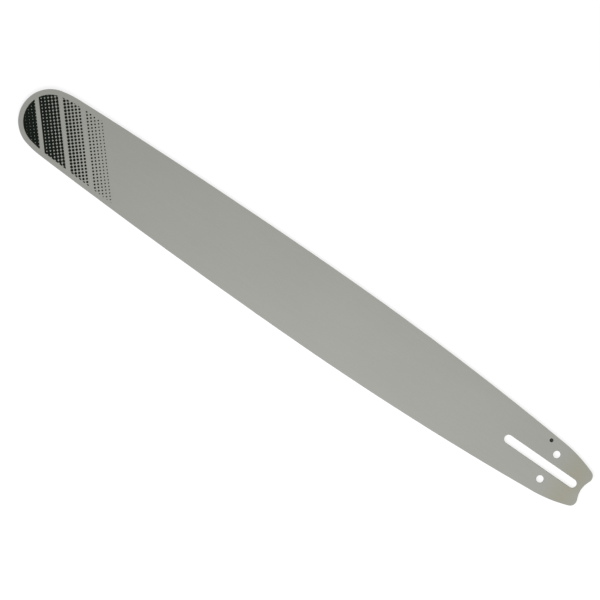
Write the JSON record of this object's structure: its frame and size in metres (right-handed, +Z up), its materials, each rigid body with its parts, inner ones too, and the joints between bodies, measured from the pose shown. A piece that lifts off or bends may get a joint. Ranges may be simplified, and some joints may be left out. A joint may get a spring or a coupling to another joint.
{
  "type": "chainsaw guide bar",
  "caption": "Flat hard-nosed steel guide bar for a chainsaw: a long leaf-shaped plate with a chain groove round its edge, and a stud slot, tensioner holes and oil holes at its tail.",
  "frame": {"origin": "middle of the bar's box, at the underside that it lies on", "axes": "+Y along the bar towards the nose, +Z up through the thickness, +X towards the edge that has the oil hole on the upper face"},
  "size_m": [0.087, 0.7249, 0.0048],
  "materials": {
    "plate": "satin grey paint on the faces, bare ground steel on the rails"
  },
  "bodies": {
    "root": {"guide_bar": "plate"}
  },
  "joints": []
}
